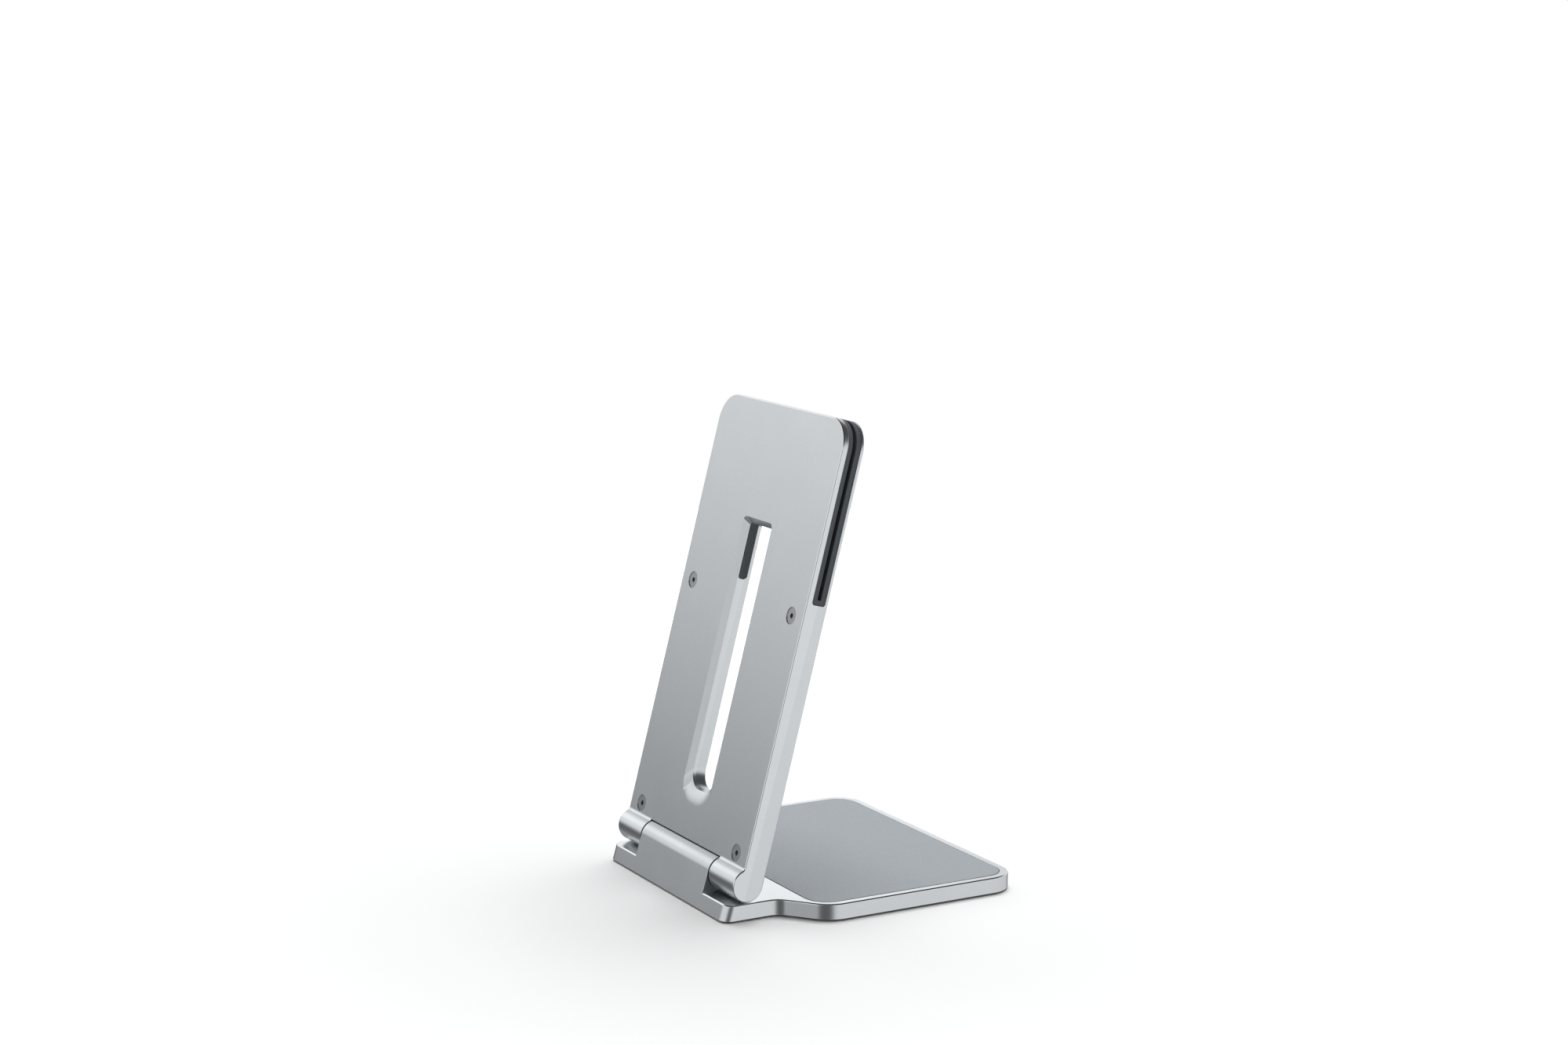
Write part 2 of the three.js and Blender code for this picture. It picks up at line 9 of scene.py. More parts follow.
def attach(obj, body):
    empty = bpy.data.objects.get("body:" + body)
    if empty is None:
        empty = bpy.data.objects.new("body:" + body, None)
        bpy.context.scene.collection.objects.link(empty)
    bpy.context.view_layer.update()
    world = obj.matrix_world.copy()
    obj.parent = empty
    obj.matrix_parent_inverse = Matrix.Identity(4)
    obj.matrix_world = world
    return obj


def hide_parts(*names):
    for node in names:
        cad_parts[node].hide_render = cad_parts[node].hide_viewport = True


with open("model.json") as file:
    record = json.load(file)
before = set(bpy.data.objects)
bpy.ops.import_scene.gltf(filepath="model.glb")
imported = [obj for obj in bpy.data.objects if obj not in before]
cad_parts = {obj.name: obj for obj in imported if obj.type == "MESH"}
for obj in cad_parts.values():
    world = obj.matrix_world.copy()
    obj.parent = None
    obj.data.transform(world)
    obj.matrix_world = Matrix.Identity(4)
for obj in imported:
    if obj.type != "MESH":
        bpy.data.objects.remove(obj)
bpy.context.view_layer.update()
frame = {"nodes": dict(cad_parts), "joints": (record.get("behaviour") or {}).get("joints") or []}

# ---- Rubber sole ---------------------------------------------------------------------------
# A thin sheet of black anti-slip rubber, die cut to the plan of the base and glued into a
# shallow recess under it. The whole stand rests on it, so it is the lowest piece.

MM = 0.001                  # sizes are in millimetres, and shapes are scaled at the end

BASE_WIDTH = 139.4
BASE_DEPTH = 128.8
BASE_TOP = 7.2
BASE_UNDERSIDE = 0.6        # the plate stands this far up on the sole
BASE_LOWER_EDGE = 0.3       # radius of its bottom edge
BASE_FRONT_CORNER = 12
NECK_WIDTH = 103.6          # the part behind the shoulders, as wide as the arm
NECK_REAR_CORNER = 4.5
SHOULDER_FROM_REAR = 24.3
SHOULDER_ANGLE = 50.5       # degrees from the side
SHOULDER_INNER_RADIUS = 8
SHOULDER_OUTER_RADIUS = 14
HINGE_TO_REAR = 11
BARREL_RADIUS = 6.8
BARREL_TO_BASE = 0.4        # air between the knuckles and the plate
SOLE_THICKNESS = 1.0
SOLE_INSET = 1.2            # from the plate's edge
SOLE_CORNER = 2.5
SOLE_ROUNDING = 0.15

HINGE_Y = BASE_DEPTH / 2 - HINGE_TO_REAR
HINGE_Z = BASE_TOP + BARREL_TO_BASE + BARREL_RADIUS
REARMOST_Z = BASE_UNDERSIDE + BASE_LOWER_EDGE
REAR_WALL_LEAN = (
    math.atan2(HINGE_TO_REAR, HINGE_Z - REARMOST_Z)
    - math.asin(BARREL_RADIUS / math.hypot(HINGE_TO_REAR, HINGE_Z - REARMOST_Z))
)

CORNER_STEPS = 14           # straight pieces in a rounded corner
EASE_STEPS = 4              # and in a rounded-over edge
LEAST_RADIUS = 0.01         # of a corner that is rounded at all
CREASE = math.radians(26)   # faces that meet more sharply than this are shaded apart
FLAT_WITHIN = math.radians(0.05)
WELD = 0.002


def linear(hex_colour):
    """An sRGB hex colour as linear red, green, blue and alpha."""
    channels = [int(hex_colour[i:i + 2], 16) / 255 for i in (1, 3, 5)]
    return [c / 12.92 if c <= 0.04045 else ((c + 0.055) / 1.055) ** 2.4 for c in channels] + [1]


def add_node(tree, kind, settings=None, inputs=None):
    """Adds a node. An input takes a plain value, or a (node, output) pair that feeds it."""
    made = tree.nodes.new(kind)
    for name, value in (settings or {}).items():
        setattr(made, name, value)
    for name, value in (inputs or {}).items():
        if isinstance(value, tuple):
            tree.links.new(value[0].outputs[value[1]], made.inputs[name])
        else:
            made.inputs[name].default_value = value
    return made


def new_finish(name):
    """A material with its node tree, its shader and the coordinates that move with the piece."""
    finish = bpy.data.materials.new(name)
    finish.use_nodes = True
    tree = finish.node_tree
    tree.nodes.clear()
    shader = add_node(tree, "ShaderNodeBsdfPrincipled")
    add_node(tree, "ShaderNodeOutputMaterial", inputs={"Surface": (shader, "BSDF")})
    return finish, tree, shader, add_node(tree, "ShaderNodeTexCoord")


def inset_corners(corners, distance):
    """Moves every edge of an outline of [across, up, radius] corners inwards."""
    inner = []
    for i, (x, y, radius) in enumerate(corners):
        corner = Vector((x, y))
        arriving = (corner - Vector(corners[i - 1][:2])).normalized()
        leaving = (Vector(corners[(i + 1) % len(corners)][:2]) - corner).normalized()
        side = Vector((-arriving.y - leaving.y, arriving.x + leaving.x))
        corner += side * (distance / (1 + arriving.dot(leaving)))
        change = -distance if arriving.cross(leaving) > 0 else distance
        radius = max(radius + change, LEAST_RADIUS) if radius else 0
        inner.append([corner.x, corner.y, radius])
    return inner


def rounded_outline(corners, steps=CORNER_STEPS):
    """The points of an anticlockwise outline with its corners rounded."""
    points = []
    for i, (x, y, radius) in enumerate(corners):
        corner = Vector((x, y))
        if not radius:
            points.append(corner)
            continue
        arriving = (corner - Vector(corners[i - 1][:2])).normalized()
        leaving = (Vector(corners[(i + 1) % len(corners)][:2]) - corner).normalized()
        turn = math.atan2(arriving.cross(leaving), arriving.dot(leaving))
        side = Vector((-arriving.y, arriving.x)) * math.copysign(1, turn)
        start = corner - arriving * radius * math.tan(abs(turn) / 2)
        centre = start + side * radius
        for k in range(steps + 1):
            swing = Matrix.Rotation(turn * k / steps, 2)
            points.append(centre + swing @ (start - centre))
    return points


def along_z(point, level):
    """Where a point of an outline lies when the outline is drawn out along Z."""
    return point[0], point[1], level


def solid_from(vertices, faces, finishes, materials):
    """A closed solid in millimetres, with its faces turned outwards."""
    mesh = bpy.data.meshes.new("blank")
    mesh.from_pydata([Vector(v) for v in vertices], [], faces)
    for material in materials:
        mesh.materials.append(material)
    mesh.polygons.foreach_set("material_index", finishes)
    shape = bmesh.new()
    shape.from_mesh(mesh)
    bmesh.ops.recalc_face_normals(shape, faces=shape.faces)
    shape.to_mesh(mesh)
    shape.free()
    blank = bpy.data.objects.new("blank", mesh)
    bpy.context.scene.collection.objects.link(blank)
    return blank


def skinned(levels, place, materials):
    """A solid skinned over outlines of equal length; a level is (outline, at, finish above)."""
    count = len(levels[0][0])
    vertices = [place(point, at) for outline, at, _ in levels for point in outline]
    last = (len(levels) - 1) * count
    faces = [list(range(count)), list(range(last, last + count))]
    finishes = [0, 0]
    for ring, level in zip(range(0, last, count), levels):
        for i in range(count):
            low, low_next = ring + i, ring + (i + 1) % count
            faces.append([low, low_next, low_next + count, low + count])
            finishes.append(level[2])
    return solid_from(vertices, faces, finishes, materials)


def eased_levels(corners_at, bottom, top, bottom_radius, top_radius, edge_finish, steps):
    """Levels for a plate whose bottom and top edges are rounded over.

    corners_at(height, inwards) gives the outline's corners at a height, drawn in by a distance.
    """
    levels = []
    for edge, direction, radius in ((bottom, 1, bottom_radius), (top, -1, top_radius)):
        turns = range(EASE_STEPS + 1) if direction > 0 else range(EASE_STEPS, -1, -1)
        for k in turns:
            angle = math.pi / 2 * k / EASE_STEPS
            inwards = radius * (1 - math.sin(angle))
            at = edge + direction * radius * (1 - math.cos(angle))
            on_flank = direction > 0 and k == EASE_STEPS
            outline = rounded_outline(corners_at(at, inwards), steps)
            levels.append((outline, at, 0 if on_flank else edge_finish))
    return levels


def soft_edged_sheet(corners, bottom, top, rounding, materials):
    """A flat sheet whose edges are rounded over by the mould or the die."""
    return skinned(
        eased_levels(lambda at, inwards: inset_corners(corners, inwards), bottom, top,
                     rounding, rounding, 0, CORNER_STEPS),
        along_z, materials,
    )


def cleaned(solid):
    """The solid as an editable shape, without the needless points left by the cuts."""
    shape = bmesh.new()
    shape.from_mesh(solid.data)
    bmesh.ops.remove_doubles(shape, verts=shape.verts, dist=WELD)
    bmesh.ops.dissolve_limit(
        shape, angle_limit=FLAT_WITHIN, verts=shape.verts, edges=shape.edges,
        delimit={"MATERIAL"},
    )
    return shape


def hand_over(solid, name, body, stands_for, place=None):
    """Names a finished solid, brings it to metres in its place, and gives it to its CAD body."""
    shape = cleaned(solid)
    for face in shape.faces:
        face.smooth = True
    for edge in shape.edges:
        edge.smooth = edge.is_manifold and edge.calc_face_angle() < CREASE
    shape.to_mesh(solid.data)
    shape.free()
    solid.data.transform(Matrix.Scale(MM, 4))
    solid.data.name = solid.name = name
    solid.matrix_world = place or Matrix.Identity(4)
    normals = solid.modifiers.new("flat faces stay flat", "WEIGHTED_NORMAL")
    normals.keep_sharp = True
    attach(solid, body)
    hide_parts(stands_for)


def rear_wall_y(height):
    """The rear wall leans forward from the rearmost line up to the hinge barrel."""
    return BASE_DEPTH / 2 - (height - REARMOST_Z) * math.tan(REAR_WALL_LEAN)


def base_corners(height):
    """Plan of the base at a height: a wide front, two shoulders and a neck behind the arm."""
    side, neck = BASE_WIDTH / 2, NECK_WIDTH / 2
    flare_start = BASE_DEPTH / 2 - SHOULDER_FROM_REAR
    flare_end = flare_start - (side - neck) / math.tan(math.radians(SHOULDER_ANGLE))
    right = [
        [side, -BASE_DEPTH / 2, BASE_FRONT_CORNER],
        [side, flare_end, SHOULDER_OUTER_RADIUS],
        [neck, flare_start, SHOULDER_INNER_RADIUS],
        [neck, rear_wall_y(max(height, REARMOST_Z)), NECK_REAR_CORNER],
    ]
    return right + [[-x, y, radius] for x, y, radius in reversed(right)]


def sole_corners(slack):
    """Plan of the sole, or of the wider recess it lies in."""
    return [
        [x, y, max(radius, SOLE_CORNER + slack)]
        for x, y, radius in inset_corners(base_corners(BASE_UNDERSIDE), SOLE_INSET - slack)
    ]


# Black natural rubber sheet: dull, with the fine cloth print that the press leaves.
sole_rubber, tree, shader, where = new_finish("black_rubber_sheet")
CLOTH_PRINT = 0.9 * MM      # between threads
grain = add_node(tree, "ShaderNodeTexNoise", inputs={
    "Vector": (where, "Object"), "Scale": 1 / CLOTH_PRINT, "Detail": 3,
})
shade = add_node(tree, "ShaderNodeValToRGB", inputs={"Fac": (grain, "Fac")})
shade.color_ramp.elements[0].color = linear("#242628")
shade.color_ramp.elements[1].color = linear("#33363a")
print_relief = add_node(tree, "ShaderNodeBump", inputs={
    "Strength": 0.5, "Distance": 0.05 * MM, "Height": (grain, "Fac"),
})
tree.links.new(shade.outputs["Color"], shader.inputs["Base Color"])
tree.links.new(print_relief.outputs["Normal"], shader.inputs["Normal"])
shader.inputs["Roughness"].default_value = 0.82
shader.inputs["IOR"].default_value = 1.52

sole = soft_edged_sheet(sole_corners(0), 0, SOLE_THICKNESS, SOLE_ROUNDING, [sole_rubber])
hand_over(sole, "rubber_sole", "base", "base_sole_pad")

# ---- Base plate ----------------------------------------------------------------------------
# One aluminium block, milled all over: a flat plate, and between the knuckles a hinge barrel
# that runs down into the sloping rear wall. It is bead blasted and clear anodised, and then
# its outer edges are cut again with a diamond tool, which leaves them bright.

BASE_EDGE = 0.6             # radius of the top edge
BROKEN_EDGE = 0.15          # width of the narrow bevel that deburring leaves
BROKEN_OVER = math.radians(30)  # on edges sharper than this
RIM = 3.5                   # metal round the pad
PAD_FROM_REAR = 34.6
PAD_THICKNESS = 0.9
PAD_PROUD = 0.1
PAD_FRONT_CORNER = 9
PAD_REAR_CORNER = 10
PAD_GAP = 0.3               # open line round the pad
RECESS_SLACK = 0.15         # round the sole, and glue room behind both sheets
CENTRE_BARREL_LENGTH = 60
BUSH_RADIUS = 5
BUSH_FIT = 0.05
GRUB_RADIUS = 2
GRUB_FIT = 0.05
GRUB_OFFSET = 17            # each side of the barrel's middle
PAST = 2                    # how far a cutting tool reaches out of the metal
BARREL_STEPS = 40
ROUND_STEPS = 96

BLASTED, DIAMOND_CUT = 0, 1     # the two finishes of every aluminium piece


def along_x(point, level):
    return level, point[0], point[1]


def turned(profile, place, materials, steps=ROUND_STEPS):
    """A solid of revolution; a profile point is [radius, distance along the axis]."""
    vertices, rings = [], []
    for radius, along in profile:
        count = steps if radius else 1
        rings.append(range(len(vertices), len(vertices) + count))
        for k in range(count):
            angle = 2 * math.pi * k / steps
            vertices.append(place((radius * math.cos(angle), radius * math.sin(angle)), along))
    faces = []
    for ring, after in zip(rings, rings[1:]):
        for k in range(steps):
            corners = [
                ring[k % len(ring)], ring[(k + 1) % len(ring)],
                after[(k + 1) % len(after)], after[k % len(after)],
            ]
            faces.append(list(dict.fromkeys(corners)))
    return solid_from(vertices, faces, [0] * len(faces), materials)


def break_edges(solid):
    """Takes the sharpness off every edge, as the deburring brush does."""
    shape = cleaned(solid)
    sharp = [
        edge for edge in shape.edges
        if edge.is_manifold and edge.calc_face_angle() > BROKEN_OVER
    ]
    bmesh.ops.bevel(
        shape, geom=sharp, offset=BROKEN_EDGE, offset_type="OFFSET", segments=2,
        profile=0.5, affect="EDGES", clamp_overlap=False, material=-1,
    )
    shape.to_mesh(solid.data)
    shape.free()


def combine(solid, tool, operation):
    """Joins, cuts or trims a solid with another, which is used up."""
    step = solid.modifiers.new("combine", "BOOLEAN")
    step.solver, step.operation, step.material_mode = "MANIFOLD", operation, "INDEX"
    step.object = tool
    bpy.context.view_layer.update()
    made = bpy.data.meshes.new_from_object(
        solid.evaluated_get(bpy.context.evaluated_depsgraph_get())
    )
    solid.modifiers.clear()
    solid.data = made
    bpy.data.objects.remove(tool)


def shifted(solid, *distance):
    solid.data.transform(Matrix.Translation(distance))
    return solid


def prism(corners, start, end, place, materials, steps=CORNER_STEPS):
    """A straight bar with the given section, square at both ends."""
    outline = rounded_outline(corners, steps)
    return skinned([(outline, start, 0), (outline, end, 0)], place, materials)


def rectangle(x0, x1, y0, y1, low_radius=0, high_radius=0):
    """Corners of a rectangle; the two at y0 have one radius and the two at y1 the other."""
    return [
        [x0, y0, low_radius], [x1, y0, low_radius], [x1, y1, high_radius], [x0, y1, high_radius],
    ]


def pad_corners(slack):
    """Plan of the pad, or of the wider recess it lies in."""
    return rectangle(
        RIM - slack - BASE_WIDTH / 2, BASE_WIDTH / 2 - RIM + slack,
        RIM - slack - BASE_DEPTH / 2, BASE_DEPTH / 2 - PAD_FROM_REAR + slack,
        PAD_FRONT_CORNER + slack, PAD_REAR_CORNER + slack,
    )


# Bead-blasted, clear anodised aluminium: a satin silver that blurs what it mirrors. The pits
# of the glass beads are about 0.06 mm across, and are drawn coarser so that they show.
BEAD_PIT = 0.3 * MM
BLAST_PATCH = 22 * MM       # the blasting gun's slow sweep


def blasted(name, darker, lighter):
    """A blasted finish in a given silver; the arm's halves get a lighter and a darker one,
    painted light and shade for the two tones on its sides.
    """
    finish, tree, shader, where = new_finish(name)
    pits = add_node(tree, "ShaderNodeTexNoise", inputs={
        "Vector": (where, "Object"), "Scale": 1 / BEAD_PIT, "Detail": 2, "Roughness": 0.6,
    })
    patches = add_node(tree, "ShaderNodeTexNoise", inputs={
        "Vector": (where, "Object"), "Scale": 1 / BLAST_PATCH, "Detail": 2,
    })
    gloss = add_node(tree, "ShaderNodeMapRange", inputs={
        "Value": (patches, "Fac"), "From Min": 0.3, "From Max": 0.7,
        "To Min": 0.26, "To Max": 0.29,
    })
    tone = add_node(tree, "ShaderNodeValToRGB", inputs={"Fac": (pits, "Fac")})
    tone.color_ramp.elements[0].position, tone.color_ramp.elements[1].position = 0.3, 0.7
    tone.color_ramp.elements[0].color = linear(darker)
    tone.color_ramp.elements[1].color = linear(lighter)
    relief = add_node(tree, "ShaderNodeBump", inputs={
        "Strength": 0.2, "Distance": 0.004 * MM, "Height": (pits, "Fac"),
    })
    tree.links.new(tone.outputs["Color"], shader.inputs["Base Color"])
    tree.links.new(gloss.outputs["Result"], shader.inputs["Roughness"])
    tree.links.new(relief.outputs["Normal"], shader.inputs["Normal"])
    shader.inputs["Metallic"].default_value = 1
    return finish


# Diamond-cut aluminium: the tool leaves a near mirror, brighter and crisper than the blasted
# faces, a little uneven in gloss along the edge.
diamond_cut, tree, shader, where = new_finish("diamond_cut_aluminium_edge")
TOOL_LINE = 0.4 * MM
lines = add_node(tree, "ShaderNodeTexNoise", inputs={
    "Vector": (where, "Object"), "Scale": 1 / TOOL_LINE, "Detail": 1,
})
gloss = add_node(tree, "ShaderNodeMapRange", inputs={
    "Value": (lines, "Fac"), "To Min": 0.09, "To Max": 0.15,
})
tree.links.new(gloss.outputs["Result"], shader.inputs["Roughness"])
shader.inputs["Base Color"].default_value = linear("#e2e4e5")
shader.inputs["Metallic"].default_value = 1

aluminium = [blasted("blasted_aluminium_base", "#d4d8da", "#dbdfe1"), diamond_cut]

base = skinned(
    eased_levels(lambda at, inwards: inset_corners(base_corners(at), inwards),
                 BASE_UNDERSIDE, BASE_TOP, BASE_LOWER_EDGE, BASE_EDGE, DIAMOND_CUT,
                 CORNER_STEPS),
    along_z, aluminium,
)

block_foot = (BASE_UNDERSIDE + BASE_TOP) / 2
barrel_top = HINGE_Z + BARREL_RADIUS
block = prism(
    [
        [HINGE_Y - BARREL_RADIUS, block_foot, 0],
        [rear_wall_y(block_foot), block_foot, 0],
        [rear_wall_y(barrel_top), barrel_top, BARREL_RADIUS],
        [HINGE_Y - BARREL_RADIUS, barrel_top, BARREL_RADIUS],
    ],
    -CENTRE_BARREL_LENGTH / 2, CENTRE_BARREL_LENGTH / 2, along_x, aluminium, BARREL_STEPS,
)
combine(base, block, "UNION")

pad_recess_floor = BASE_TOP - (PAD_THICKNESS - PAD_PROUD) - RECESS_SLACK
combine(base, prism(
    pad_corners(PAD_GAP), pad_recess_floor, BASE_TOP + PAST, along_z, aluminium,
), "DIFFERENCE")
combine(base, prism(
    sole_corners(RECESS_SLACK), -PAST, SOLE_THICKNESS + RECESS_SLACK, along_z, aluminium,
), "DIFFERENCE")

bore = BUSH_RADIUS + BUSH_FIT
bore_tool = turned(
    [[0, -CENTRE_BARREL_LENGTH], [bore, -CENTRE_BARREL_LENGTH],
     [bore, CENTRE_BARREL_LENGTH], [0, CENTRE_BARREL_LENGTH]],
    along_x, aluminium,
)
combine(base, shifted(bore_tool, 0, HINGE_Y, HINGE_Z), "DIFFERENCE")
hole = GRUB_RADIUS + GRUB_FIT
for side in (-1, 1):
    drill = turned([[0, -PAST], [hole, -PAST], [hole, HINGE_Z], [0, HINGE_Z]], along_z, aluminium)
    combine(base, shifted(drill, side * GRUB_OFFSET, HINGE_Y, 0), "DIFFERENCE")

break_edges(base)
hand_over(base, "base_block", "base", "base_plate")

# ---- Top pad -------------------------------------------------------------------------------
# A sheet of grey silicone, glued into the recess of the base and standing 0.1 mm proud of the
# rim, so that a phone or the folded arm lies on something soft.

PAD_ROUNDING = 0.2

# Moulded silicone: matt, with the fine spark-eroded grain of its mould.
pad_silicone, tree, shader, where = new_finish("grey_moulded_silicone")
MOULD_GRAIN = 0.3 * MM      # really about 0.1 mm
grain = add_node(tree, "ShaderNodeTexNoise", inputs={
    "Vector": (where, "Object"), "Scale": 1 / MOULD_GRAIN, "Detail": 3, "Roughness": 0.65,
})
tone = add_node(tree, "ShaderNodeValToRGB", inputs={"Fac": (grain, "Fac")})
tone.color_ramp.elements[0].position, tone.color_ramp.elements[1].position = 0.3, 0.72
tone.color_ramp.elements[0].color = linear("#8f9498")
tone.color_ramp.elements[1].color = linear("#abb0b4")
relief = add_node(tree, "ShaderNodeBump", inputs={
    "Strength": 0.5, "Distance": 0.025 * MM, "Height": (grain, "Fac"),
})
tree.links.new(tone.outputs["Color"], shader.inputs["Base Color"])
tree.links.new(relief.outputs["Normal"], shader.inputs["Normal"])
shader.inputs["Roughness"].default_value = 0.7
shader.inputs["IOR"].default_value = 1.41

top_pad = soft_edged_sheet(
    pad_corners(0), BASE_TOP + PAD_PROUD - PAD_THICKNESS, BASE_TOP + PAD_PROUD,
    PAD_ROUNDING, [pad_silicone],
)
hand_over(top_pad, "silicone_top_pad", "base", "base_top_pad")

# ---- Hinge inside the barrel ---------------------------------------------------------------
# A ground steel shaft turns in two sintered bronze bushes, each held by a grub screw from
# below. A collar, disc springs and thrust washers in the middle press on the bushes, and so
# give the friction. All of it is closed in, and keeps the CAD's own shape.

# Ground steel: bright, with fine lines round the shaft.
ground_steel, tree, shader, where = new_finish("ground_steel")
GRINDING_LINE = 0.12 * MM   # across
GRINDING_LENGTH = 25 * MM   # and round the shaft
stretch = add_node(tree, "ShaderNodeMapping", inputs={
    "Vector": (where, "Object"),
    "Scale": [1 / GRINDING_LINE, 1 / GRINDING_LENGTH, 1 / GRINDING_LENGTH],
})
lines = add_node(tree, "ShaderNodeTexNoise", inputs={"Vector": (stretch, "Vector"), "Scale": 1})
gloss = add_node(tree, "ShaderNodeMapRange", inputs={
    "Value": (lines, "Fac"), "To Min": 0.18, "To Max": 0.34,
})
tree.links.new(gloss.outputs["Result"], shader.inputs["Roughness"])
shader.inputs["Base Color"].default_value = linear("#b9babb")
shader.inputs["Metallic"].default_value = 1

# Sintered bronze: porous and dull, warm brown with darker pores.
sintered_bronze, tree, shader, where = new_finish("sintered_bronze")
PORE = 0.25 * MM
pores = add_node(tree, "ShaderNodeTexVoronoi", inputs={
    "Vector": (where, "Object"), "Scale": 1 / PORE,
})
tone = add_node(tree, "ShaderNodeValToRGB", inputs={"Fac": (pores, "Distance")})
tone.color_ramp.elements[0].color = linear("#6d4a2c")
tone.color_ramp.elements[1].color = linear("#b08355")
tree.links.new(tone.outputs["Color"], shader.inputs["Base Color"])
shader.inputs["Roughness"].default_value = 0.5
shader.inputs["Metallic"].default_value = 1

for node_name, node_object in frame["nodes"].items():
    if "bush" in node_name and "grub" not in node_name:
        node_object.data.materials.clear()
        node_object.data.materials.append(sintered_bronze)
    elif any(word in node_name for word in ("grub", "shaft", "spring", "washer")):
        node_object.data.materials.clear()
        node_object.data.materials.append(ground_steel)

# ---- Arm -----------------------------------------------------------------------------------
# Two milled aluminium halves that lie on each other along a plane from the hinge to the middle
# of the groove. Their feet close round the flatted ends of the shaft, and the groove at the
# top takes the tablet's kickstand. The rear half has the cable slot with its bevelled mouth.

ARM_WIDTH = 103.6
ARM_LENGTH = 189.6          # from the hinge's axis; all heights below start there too
ARM_THICKNESS = 10
ARM_EDGE = 0.55
ARM_TOP_CORNER = 12
ARM_LEAN = 14.7             # degrees forward from upright
SPLIT_SHOWN = 0.004         # the visible halves touch, with no dark line between them
BARREL_FILLET = 1.8         # where the knuckle's back runs into the rear face
BARREL_END_GAP = 0.9        # between the centre barrel and each knuckle
NOTCH_CLEARANCE = 0.5       # round the centre barrel
SHAFT_RADIUS = 3
SHAFT_LENGTH = 92
SHAFT_FLAT = 2.5            # from the shaft's axis to its flats
CLAMP_CLEARANCE = 0.05
SOCKET_START = 0.9          # of the notch's half width, so that the socket opens into it
GROOVE_WIDTH = 6.05
GROOVE_FLOOR = 115.2
GROOVE_CORNER = 1.2
REAR_JAW = 2.45             # metal behind the groove
SLOT_WIDTH = 19.4
SLOT_FRONT_WIDTH = 26
SLOT_BOTTOM = 26.7
SLOT_TOP = 139.1
SLOT_BEVEL = 2.3            # how much wider its bevelled mouth is, on each side
SLOT_RAMP = 6.2             # the same at its lower end
SLOT_BEVEL_DEPTH = 2.25
SLOT_BOTTOM_RADIUS = 7.5
SLOT_TOP_RADIUS = 1.6
SLOT_OVERRUN = 0.2          # the bevelling tool reaches this share of the bevel past the face
SCREW_SPACING = 84.4
SCREW_ABOVE_HINGE = 10.9
SCREW_BELOW_GROOVE = 6.6
SCREW_RADIUS = 1.75
SCREW_HEAD_RADIUS = 3.5
SCREW_HEAD_SUNK = 0.3       # below the rear face
SCREW_FIT = 0.06
SCREW_CLEARANCE = 0.25
SCREW_TIP_WALL = 1.2        # metal left in front of the screw's tip
ARM_CORNER_STEPS = 24
KNUCKLE_STEPS = 28
SCREW_STEPS = 64

ARM_FRONT = -BARREL_RADIUS
ARM_REAR = ARM_FRONT + ARM_THICKNESS
GROOVE_REAR = ARM_REAR - REAR_JAW
GROOVE_FRONT = GROOVE_REAR - GROOVE_WIDTH
GROOVE_CENTRE = (GROOVE_REAR + GROOVE_FRONT) / 2
NOTCH_RADIUS = BARREL_RADIUS + NOTCH_CLEARANCE
NOTCH_HALF_WIDTH = CENTRE_BARREL_LENGTH / 2 + BARREL_END_GAP
SCREW_TIP = ARM_FRONT + SCREW_TIP_WALL
SCREW_TOP = ARM_REAR - SCREW_HEAD_SUNK
SCREW_LEVELS = {"lower": SCREW_ABOVE_HINGE, "upper": GROOVE_FLOOR - SCREW_BELOW_GROOVE}

hinge_place = Vector(frame["joints"][0]["pos_m"])
arm_place = (
    Matrix.Translation(hinge_place) @ Matrix.Rotation(math.radians(ARM_LEAN), 4, "X")
)


def along_y(point, level):
    return point[0], level, point[1]


def eased_prism(corners, start, end, radius, place, materials, steps=CORNER_STEPS):
    """A prism whose two end faces have diamond-cut rounded edges all round."""
    return skinned(
        eased_levels(lambda at, inwards: inset_corners(corners, inwards), start, end,
                     radius, radius, DIAMOND_CUT, steps),
        place, materials,
    )


def block_of(x0, x1, y0, y1, z0, z1, materials):
    """A plain block between six planes."""
    return prism(rectangle(x0, x1, y0, y1), z0, z1, along_z, materials)


def arm_corners(bottom, inwards=0):
    """Rear view of the arm's plate above a height, drawn in by a distance."""
    return rectangle(
        inwards - ARM_WIDTH / 2, ARM_WIDTH / 2 - inwards, bottom, ARM_LENGTH - inwards,
        0, ARM_TOP_CORNER - inwards,
    )


def groove_corners(rear, front, floor, corner):
    """Side view of the groove, or of the space inside its liners."""
    top = ARM_LENGTH + PAST
    return [[front, top, 0], [front, floor, corner], [rear, floor, corner], [rear, top, 0]]


def groove_tool(inwards, materials):
    """The room of the groove from side to side, drawn in by a distance."""
    return prism(
        groove_corners(
            GROOVE_REAR - inwards, GROOVE_FRONT + inwards, GROOVE_FLOOR + inwards, GROOVE_CORNER,
        ),
        -ARM_WIDTH, ARM_WIDTH, along_x, materials,
    )


def slot_outline(half_width, spread):
    """The slot's outline: spread 0 is its wall and 1 is the bevel's edge on the rear face."""
    side = half_width + SLOT_BEVEL * spread
    bottom = SLOT_BOTTOM - SLOT_RAMP * spread
    top = SLOT_TOP + SLOT_BEVEL * spread
    foot_radius = SLOT_BOTTOM_RADIUS + SLOT_BEVEL * spread
    head_radius = SLOT_TOP_RADIUS * (1 + spread / 2)
    return rounded_outline([
        [-side, bottom, foot_radius], [side, bottom, foot_radius],
        [side, top, head_radius], [-side, top, head_radius],
    ])


